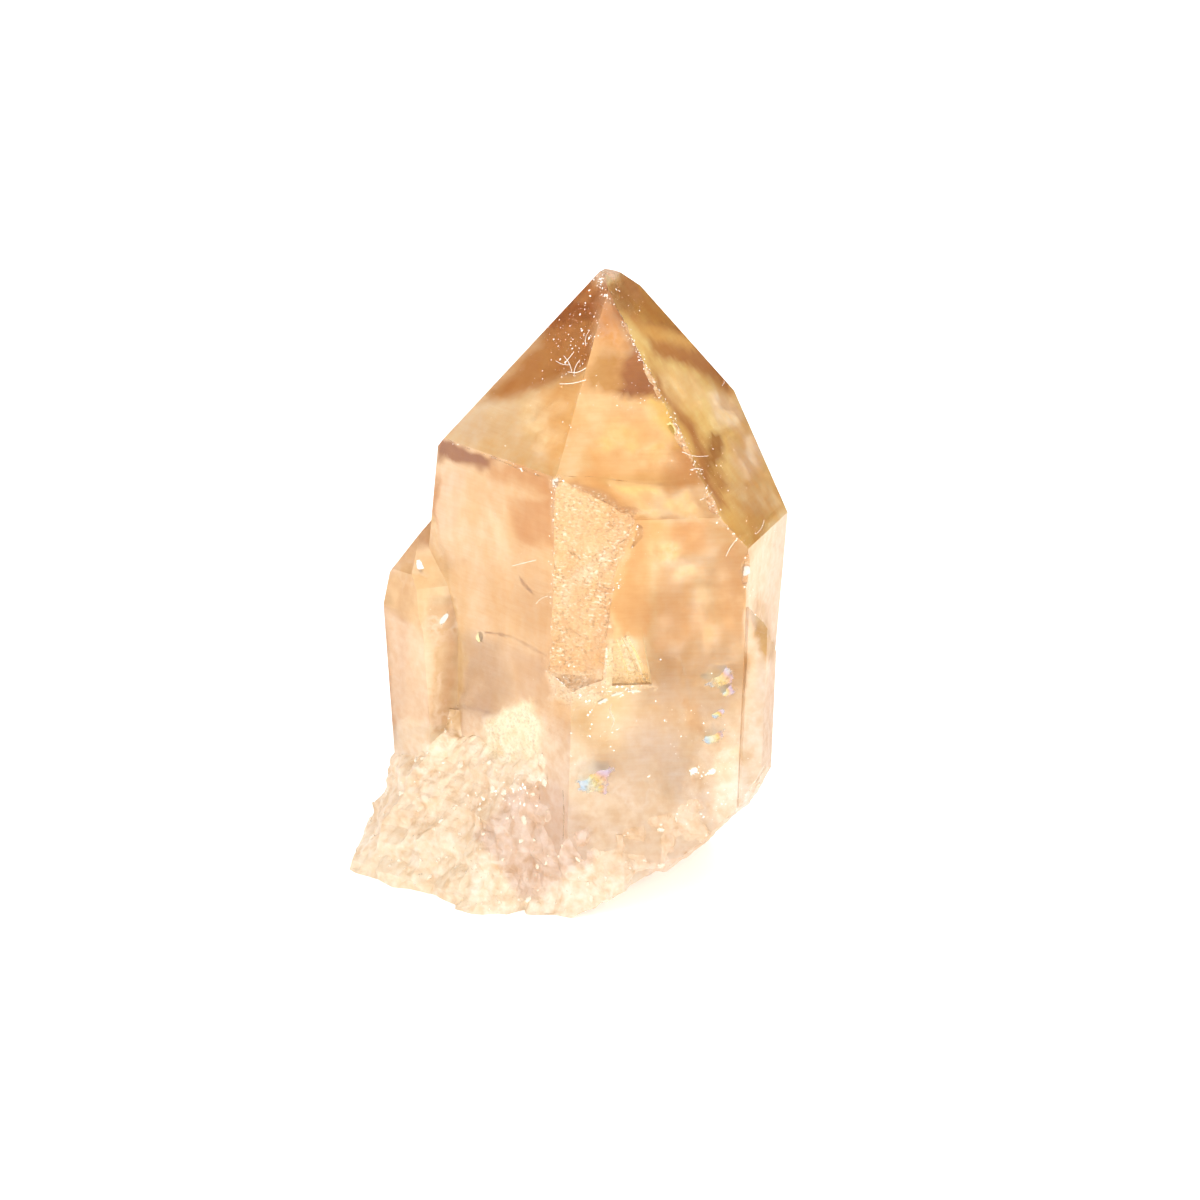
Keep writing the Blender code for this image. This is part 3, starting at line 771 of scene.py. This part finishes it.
def citrine_material():
    n = Material("citrine")
    finish = n.add("SeparateColor")
    n.join(n.painted("finish").outputs["Color"], finish.inputs[0])
    milk, gloss, grain = finish.outputs[0], finish.outputs[1], finish.outputs[2]
    # Clear crystal: the tint with its painted light and shade, unevenly clouded and streaked.
    cloud = n.spread(n.noise(2.4, 4.0, (1, 1, 0.7)), 0.36, 0.66)
    mottle = n.mix(cloud, (0.92, 0.79, 0.58, 1), WHITE)
    spots = n.spread(n.noise(1.0, 3.0), 0.36, 0.62)
    mottle = n.shade(mottle, n.mix(spots, (0.94, 0.86, 0.74, 1), WHITE))
    for streaks in (n.spread(n.noise(1.3, 3.0, (1, 1, 0.12)), 0.36, 0.64),
                    n.spread(n.noise(0.22, 2.0, (0.1, 0.1, 1)), 0.34, 0.6)):
        mottle = n.shade(mottle, n.mix(streaks, STREAK_COLOUR, WHITE))
    base = n.shade(n.painted("tint_and_shade").outputs["Color"], mottle)
    # Milky crystal: the cast, which holds painted glow and painted shadow, with lumps, crumbs and pale
    # veins.
    lumps = n.spread(n.noise(2.6, 3.0), 0.35, 0.65)
    crumbs = n.spread(n.noise(0.7, 4.0), 0.34, 0.68)
    shade = n.mix(lumps, (0.90, 0.83, 0.75, 1), WHITE)
    shade = n.mix(n.product(crumbs, 0.8), n.shade(shade, (0.86, 0.75, 0.62, 1)), WHITE)
    folds = n.math("ABSOLUTE", n.math("SUBTRACT", n.noise(2.2, 5.0), 0.5))
    veins = n.product(n.spread(folds, 0.0, 0.06, 0.3, 0.0), n.spread(n.noise(3.1, 2.0), 0.42, 0.6))
    shade = n.shade(n.painted("cast").outputs["Color"], shade)
    base = n.mix(milk, base, n.mix(veins, shade, VEIN_COLOUR))
    # Frosted places: painted shade in dark pits and painted sparkle highlights on bright facets.
    fine = n.product(n.spread(grain, 0.5, 0.9), n.spread(n.noise(1.5, 2.0), 0.35, 0.6, 0.35, 1.0))
    sparkle_highlight = n.product(n.spread(n.noise(0.18, 4.0, (0.6, 0.6, 1.2)), 0.52, 0.66), fine)
    pit_shade = n.product(n.spread(n.noise(0.2, 5.0, (0.8, 0.8, 1.0)), 0.51, 0.62), fine)
    base = n.mix(n.product(pit_shade, 0.75), base, PIT_SHADE_COLOUR)
    n.give("Base Color", n.mix(n.product(sparkle_highlight, 0.85), base, SPARKLE_HIGHLIGHT_COLOUR))
    n.give("IOR", CITRINE_IOR)
    cover = n.math("MAXIMUM", n.product(milk, MILK_OPACITY), n.product(sparkle_highlight, SPARKLE_HIGHLIGHT_OPACITY))
    n.give("Transmission Weight", n.math("SUBTRACT", 1.0, cover))
    n.give("Roughness", n.math("ADD", gloss, n.spread(n.noise(1.6, 5.0), 0.4, 0.75, 0.0, 0.06)))
    # Growth lines across the crystal, and grains where it is frosted, as heights in millimetres.
    lines = n.product(n.noise(0.5, 3.0, (0.08, 0.08, 1.0)), 0.03)
    grains = n.product(n.noise(0.28, 3.0), n.product(grain, 0.12))
    bump = n.add("Bump", Height=n.math("ADD", lines, grains), Distance=MM, Strength=1.0)
    n.give("Normal", bump.outputs["Normal"])
    volume = n.add("VolumeAbsorption", Color=ABSORPTION_COLOUR, Density=ABSORPTION_DENSITY)
    n.join(volume.outputs["Volume"], n.tree.nodes["Material Output"].inputs["Volume"])
    return n.owner


def dress(name, mesh, material):
    """A piece of the crystal, in its place in the frame."""
    mesh.materials.append(material)
    piece = new_object(name, mesh)
    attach(piece, "root")
    return piece


def crystal(node):
    mesh = crystal_mesh(node)
    paint(mesh)
    piece = dress("citrine_body", mesh, citrine_material())
    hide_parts(NODE)
    return piece


def add_grains(name, grains, material):
    """A piece made of small grains, none of them below the resting plane."""
    mesh = bpy.data.meshes.new(name)
    mesh.from_pydata([(x, y, max(z, 0.0)) for x, y, z in grains[0]], [], grains[1])
    dress(name, mesh, material)


def seen(tree, pixel):
    """Where the photograph's camera meets the crystal at a pixel, and the way the surface faces there."""
    place, normal, _, _ = tree.ray_cast(EYE, ray(pixel))
    return place, normal


def bent(way, normal):
    """The direction of a view inside the crystal, once it is bent at the surface."""
    cos = -normal.dot(way)
    ratio = 1 / CITRINE_IOR
    sideways = way * ratio + normal * (ratio * cos - math.sqrt(1 - ratio * ratio * (1 - cos * cos)))
    return sideways.normalized()


def veil(bm, layer, tree, pixel, depth, size, turn, seed, colour, bulge, cells):
    """A crumpled flaw inside the crystal: a ragged sheet seen at a pixel, this far under the surface."""
    place, normal = seen(tree, pixel)
    way = bent(ray(pixel), normal)
    centre = place + way * depth
    side = RIGHT * math.cos(turn) + UP * math.sin(turn)
    tilt = Vector((0.2 * noise.noise((seed, 1.5, 0.5)), 0, 0.12 * noise.noise((seed, 2.5, 0.5))))
    normal = (-way + tilt).normalized()
    side = (side - normal * side.dot(normal)).normalized()
    other = normal.cross(side)
    wide, tall = size[0] / 2, size[1] / 2
    points = {}
    for row in range(cells + 1):
        for column in range(cells + 1):
            u, v = 2 * column / cells - 1, 2 * row / cells - 1
            spot = Vector((u * 1.3, v * 1.3, seed * 1.7))
            ragged = math.hypot(u, v) + 0.34 * noise.noise(spot * 1.8) + 0.18 * noise.noise(spot * 5)
            if ragged > VEIL_EDGE:
                continue
            lift = bulge * min(wide, tall) * (noise.noise(spot) + 0.5 * noise.noise(spot * 3.1))
            spot = centre + side * u * wide + other * v * tall + normal * lift
            shade = colour(u, v) if callable(colour) else colour
            points[column, row] = (bm.verts.new(spot), (*shade, min(1.0, 2 * (VEIL_EDGE - ragged))))
    for column, row in list(points):
        corners = [(column, row), (column + 1, row), (column + 1, row + 1), (column, row + 1)]
        if all(corner in points for corner in corners):
            face = bm.faces.new([points[corner][0] for corner in corners])
            face.smooth = True
            for loop, corner in zip(face.loops, corners):
                loop[layer] = points[corner][1]


def sheets(name, tree, rows, seed, material, bulge, cells):
    """One piece made of a veil for each row."""
    bm = bmesh.new()
    layer = bm.loops.layers.float_color.new("colour")
    for number, (pixel, depth, (wide, tall), turn, colour) in enumerate(rows, seed):
        size = (wide * MM, tall * MM)
        veil(bm, layer, tree, pixel, depth * MM, size, math.radians(turn), number, colour, bulge, cells)
    dress(name, mesh_of(name, bm), material)


def veils(tree):
    """Cracks full of air: they mirror the light where they aren't healed."""
    n = Material("inner_flaws")
    colour = n.painted("colour")
    shade = n.mix(n.spread(n.noise(0.78, 3.0), 0.35, 0.7), (0.9, 0.82, 0.7, 1), WHITE)
    n.give("Base Color", n.shade(colour.outputs["Color"], shade))
    n.give("Roughness", n.spread(n.noise(1.3, 2.0), 0.3, 0.7, 0.4, 0.6))
    n.give("Metallic", 1.0)
    patchy = n.spread(n.noise(1.3, 2.5), 0.36, 0.66, 0.0, 0.75)
    n.give("Alpha", n.product(patchy, colour.outputs["Alpha"]))
    sheets("inner_flaws", tree, VEILS, 1, n.owner, 0.18, 14)


def mark_material(name, size, palest, roughness):
    """A bright or dark mark, a little uneven in colour, and its painted colour."""
    n = Material(name)
    colour = n.painted("colour")
    shade = n.spread(n.noise(size, 2.0), 0.3, 0.7, palest, 1.0)
    n.give("Base Color", n.mix(shade, (1.0, 0.9, 0.75, 1), colour.outputs["Color"]))
    n.give("Roughness", roughness)
    return n, colour


# Painted highlights: the glints as pale sheets, lit like any surface.
def glints(tree):
    n, colour = mark_material("glints", 0.4, 0.82, 0.4)
    n.give("Alpha", n.math("MINIMUM", n.product(colour.outputs["Alpha"], 2.0), 1.0))
    sheets("glints", tree, GLINTS, 70, n.owner, 0.1, 8)


def crack_lines(tree):
    """Cracks seen edge on, and one painted highlight along the notch, as thin curved ribbons just under
    the surface.
    """
    n, _ = mark_material("crack_lines", 0.5, 0.75, 0.5)
    n.give("Alpha", n.spread(n.noise(0.8, 3.0), 0.38, 0.6, 0.25, 0.7))
    bm = bmesh.new()
    layer = bm.loops.layers.float_color.new("colour")
    for path, depth, width, colour in LINES:
        ribbon(bm, layer, tree, smooth_path(path), depth * MM, width * MM, colour)
    dress("crack_lines", mesh_of("crack_lines", bm), n.owner)


def smooth_path(path, steps=6):
    """A smooth curve through pixels, which are given across, down, across, down and so on."""
    points = list(np.array(path, float).reshape(-1, 2))
    points = [2 * points[0] - points[1], *points, 2 * points[-1] - points[-2]]
    curve = []
    for a, b, c, d in zip(points, points[1:], points[2:], points[3:]):
        for step in range(steps):
            t = step / steps
            square, cube = 2 * a - 5 * b + 4 * c - d, 3 * b - a - 3 * c + d
            curve.append(0.5 * (2 * b + (c - a) * t + square * t ** 2 + cube * t ** 3))
    curve.append(points[-2])
    return curve


def ribbon(bm, layer, tree, path, depth, width, colour):
    pairs = []
    for index, pixel in enumerate(path):
        place, normal = seen(tree, pixel)
        if place is None:
            continue
        before, after = path[max(0, index - 1)], path[min(len(path) - 1, index + 1)]
        along = RIGHT * (after[0] - before[0]) - UP * (after[1] - before[1])
        across = normal.cross(along).normalized()
        share = index / (len(path) - 1)
        half = width / 2 * (0.25 + 0.75 * math.sin(math.pi * share)) * (1 + 0.4 * noise.noise(place / MM))
        middle = place - normal * depth
        pairs.append((bm.verts.new(middle + across * half), bm.verts.new(middle - across * half)))
    for (a, b), (c, d) in zip(pairs, pairs[1:]):
        for loop in bm.faces.new((a, c, d, b)).loops:
            loop[layer] = (*colour, 1.0)


def rainbow(seed):
    """The painted reflection on a flake at each place from -1 to 1 across it: bands that bend round one
    corner.
    """
    stops = [stop for stop, _ in RAINBOW]
    channels = list(zip(*(colour for _, colour in RAINBOW)))

    def colour(u, v):
        share = math.hypot(u + 0.9, v + 0.5) / 2.1 + 0.16 * noise.noise((u * 1.5, v * 1.5, seed))
        return tuple(np.interp(share, stops, channel) for channel in channels)
    return colour


def flakes(tree):
    """Small cracks that lie like mirrors inside and break the light into pale rainbow colours, painted as
    coloured flakes at the surface.
    """
    n = Material("rainbow_cracks")
    colour = n.painted("colour")
    pale = n.spread(n.noise(0.5, 2.0), 0.4, 0.7, 0.0, 0.5)
    n.give("Base Color", n.mix(pale, colour.outputs["Color"], FLAKE_PALE))
    n.give("Roughness", 0.25)
    patchy = n.spread(n.noise(0.6, 3.0), 0.28, 0.5, 0.3, 1.0)
    n.give("Alpha", n.product(patchy, n.math("MINIMUM", n.product(colour.outputs["Alpha"], 1.6), 1.0)))
    rows = [(*row, rainbow(number)) for number, row in enumerate(CRACKS)]
    sheets("rainbow_cracks", tree, rows, 40, n.owner, 0.1, 14)


def unit_grain():
    """The corners and faces of a small ball, as lists."""
    bm = bmesh.new()
    bmesh.ops.create_icosphere(bm, subdivisions=1, radius=1)
    corners = [vertex.co.copy() for vertex in bm.verts]
    faces = [[vertex.index for vertex in face.verts] for face in bm.faces]
    bm.free()
    return corners, faces


UNIT_GRAIN = unit_grain()


def grain_size(rng, smallest, largest):
    """A random size, far more often small than large."""
    return smallest + (largest - smallest) * rng.random() ** 3


def speck(grains, place, normal, radius, flat, rng, uneven=UNEVEN):
    """Adds a small uneven grain, part sunk in the surface, to lists of corners and faces."""
    corners, faces = grains
    turn = normal.to_track_quat("Z", "Y").to_matrix().to_4x4()
    spin = Matrix.Rotation(rng.uniform(0, FULL_TURN), 4, "Z")
    shape = Matrix.Diagonal((rng.uniform(0.7, 1.7), rng.uniform(0.5, 1.3), flat, 1))
    matrix = Matrix.Translation(place) @ turn @ spin @ shape
    start = len(corners)
    corners.extend(matrix @ (corner * radius * rng.uniform(*uneven)) for corner in UNIT_GRAIN[0])
    faces.extend([index + start for index in face] for face in UNIT_GRAIN[1])


def fibre(grains, tree, start, end, width, rng):
    """A hair of lint lying on the faces from one pixel to another, added to the same lists."""
    corners, faces = grains
    first = len(corners)
    bow = rng.uniform(-LINT_BOW, LINT_BOW)
    for step in range(LINT_STEPS + 1):
        share = step / LINT_STEPS
        swing = bow * math.sin(math.pi * share)
        across, down = end[0] - start[0], end[1] - start[1]
        pixel = (start[0] + across * share - down * swing, start[1] + down * share + across * swing)
        place, normal = seen(tree, pixel)
        if place is None:
            break
        along = (RIGHT * across - UP * down).normalized()
        side = normal.cross(along).normalized()
        middle = place + normal * width * 0.4
        corners.extend(middle + way * width / 2 for way in (side, normal, -side, -normal))
    for step in range(LINT_STEPS):
        ring = first + 4 * step
        for index in range(4):
            after = (index + 1) % 4
            faces.append([ring + index, ring + after, ring + after + 4, ring + index + 4])
    faces.append([first + 3, first + 2, first + 1, first])
    faces.append([len(corners) - 4 + index for index in range(4)])


def grain_material(name, size, dark, pale, smoothest, roughest):
    """Small grains, a little uneven in colour and gloss."""
    n = Material(name)
    n.give("Base Color", n.mix(n.spread(n.noise(size[0], 3.0), 0.3, 0.7), dark, pale))
    n.give("Roughness", n.spread(n.noise(size[1], 2.0), 0.3, 0.7, smoothest, roughest))
    return n


def dust(tree, grains):
    """Dust, lint and small white chips, most of them near the tip and along the jagged edge."""
    rng = random.Random(SEED)
    for x0, y0, x1, y1, spread_out, count, smallest, largest in DUST:
        for _ in range(count):
            share = rng.random()
            across = x0 + (x1 - x0) * share + rng.gauss(0, spread_out)
            down = y0 + (y1 - y0) * share + rng.gauss(0, spread_out)
            place, normal = seen(tree, (across, down))
            if place is None:
                continue
            radius = grain_size(rng, smallest, largest)
            speck(grains, place, normal, radius * MM, rng.uniform(0.35, 0.8), rng)
    for x0, y0, x1, y1, width in LINT:
        fibre(grains, tree, (x0, y0), (x1, y1), width * MM, rng)
    n = grain_material("dust", (0.3, 0.2), (0.98, 0.88, 0.74, 1), (1.0, 0.97, 0.93, 1), 0.3, 0.6)
    add_grains("dust", grains, n.owner)


def edge_chips(body):
    """Small chips along the sharp edges that the camera doesn't see."""
    rng = random.Random(SEED + 2)
    grains = ([], [])
    bm = bmesh.new()
    bm.from_mesh(body.data)
    plane = bm.faces.layers.int["plane"]
    edges = []
    for edge in bm.edges:
        numbers = {face[plane] for face in edge.link_faces}
        away = all(face.normal.dot(edge.verts[0].co - EYE) > 0 for face in edge.link_faces)
        if away and len(numbers) > 1 and edge.calc_face_angle(0) > CHIP_ANGLE:
            edges.append(edge)
    for edge in rng.sample(edges, min(CHIP_COUNT, len(edges))):
        first, last = (vertex.co for vertex in edge.verts)
        normal = sum((face.normal for face in edge.link_faces), Vector()).normalized()
        radius = grain_size(rng, *CHIP_SIZE)
        speck(grains, first.lerp(last, rng.random()), normal, radius, 0.5, rng)
    for face in rng.sample(bm.faces[:], REAR_DUST):
        middle = face.calc_center_median()
        if face.normal.dot(middle - EYE) > 0 and middle.z > CRUMB_TOP:
            speck(grains, middle, face.normal, grain_size(rng, *REAR_DUST_SIZE), 0.5, rng)
    bm.free()
    return grains


def crumbs(body):
    """Loose-looking crumbs of quartz grown fast to the broken foot, all the way round."""
    rng = random.Random(SEED + 1)
    mesh = body.data
    grains = ([], [])
    planes = mesh.attributes["plane"].data
    low = [face for face in mesh.polygons if CRUMB_BOTTOM < face.center.z < CRUMB_TOP]
    rough = [face for face in low if planes[face.index].value == 0]
    for face in rng.sample(rough, min(CRUMB_COUNT, len(rough))):
        radius = grain_size(rng, *CRUMB_SIZE)
        speck(grains, Vector(face.center), Vector(face.normal), radius, 0.6, rng, CRUMB_UNEVEN)
    n = grain_material("crumbs", (1.1, 0.5), (0.80, 0.64, 0.46, 1), (0.92, 0.80, 0.64, 1), 0.12, 0.35)
    n.give("IOR", CITRINE_IOR)
    n.give("Transmission Weight", 0.2)
    add_grains("crumbs", grains, n.owner)


def floor():
    bm = bmesh.new()
    bmesh.ops.create_circle(bm, cap_ends=True, segments=96, radius=FLOOR_RADIUS)
    mesh = mesh_of("floor", bm)
    n = Material("floor")
    n.give("Base Color", (0.95, 0.95, 0.95, 1))
    n.give("Roughness", 0.9)
    n.give("Specular IOR Level", 0.1)
    n.give("Emission Color", WHITE)
    n.give("Emission Strength", FLOOR_GLOW)
    mesh.materials.append(n.owner)
    obj = new_object("floor", mesh)
    obj.location.z = -FLOOR_GAP


def world():
    """White light all round, stronger low on one side and ahead of the crystal, with the dark flags."""
    n = Nodes(bpy.data.worlds.new("studio"))
    bpy.context.scene.world = n.owner
    way = n.add("TexCoord").outputs["Generated"]
    split = n.add("SeparateXYZ", Vector=way)
    side = n.spread(split.outputs["X"], *SIDE_REACH, 0, SIDE_LIGHT, "SMOOTHSTEP")
    low = n.spread(split.outputs["Z"], *LOW_REACH, 1, 0, "SMOOTHSTEP")
    ahead = n.spread(split.outputs["Y"], *FRONT_REACH, 0, FRONT_LIGHT, "SMOOTHSTEP")
    strength = n.math("ADD", n.math("MULTIPLY_ADD", side, low, SKY_LIGHT), ahead)
    for axis, (near, far), share in FLAGS:
        towards = n.add("VectorMath", operation="DOT_PRODUCT")
        n.join(way, towards.inputs[0])
        towards.inputs[1].default_value = Vector(axis).normalized()
        edges = math.cos(math.radians(far)), math.cos(math.radians(near))
        kept = n.spread(towards.outputs["Value"], *edges, 1, share, "SMOOTHSTEP")
        strength = n.product(strength, kept)
    background = n.tree.nodes["Background"]
    background.inputs["Color"].default_value = WHITE
    n.join(strength, background.inputs["Strength"])


def main():
    noise.seed_set(SEED)
    make_camera()
    floor()
    world()
    bpy.context.scene.view_settings.view_transform = "Standard"
    cycles = bpy.context.scene.cycles
    cycles.max_bounces = BOUNCES
    cycles.transmission_bounces = BOUNCES
    body = crystal(frame["nodes"][NODE])
    tree = BVHTree.FromObject(body, bpy.context.evaluated_depsgraph_get())
    veils(tree)
    glints(tree)
    crack_lines(tree)
    flakes(tree)
    dust(tree, edge_chips(body))
    crumbs(body)


main()
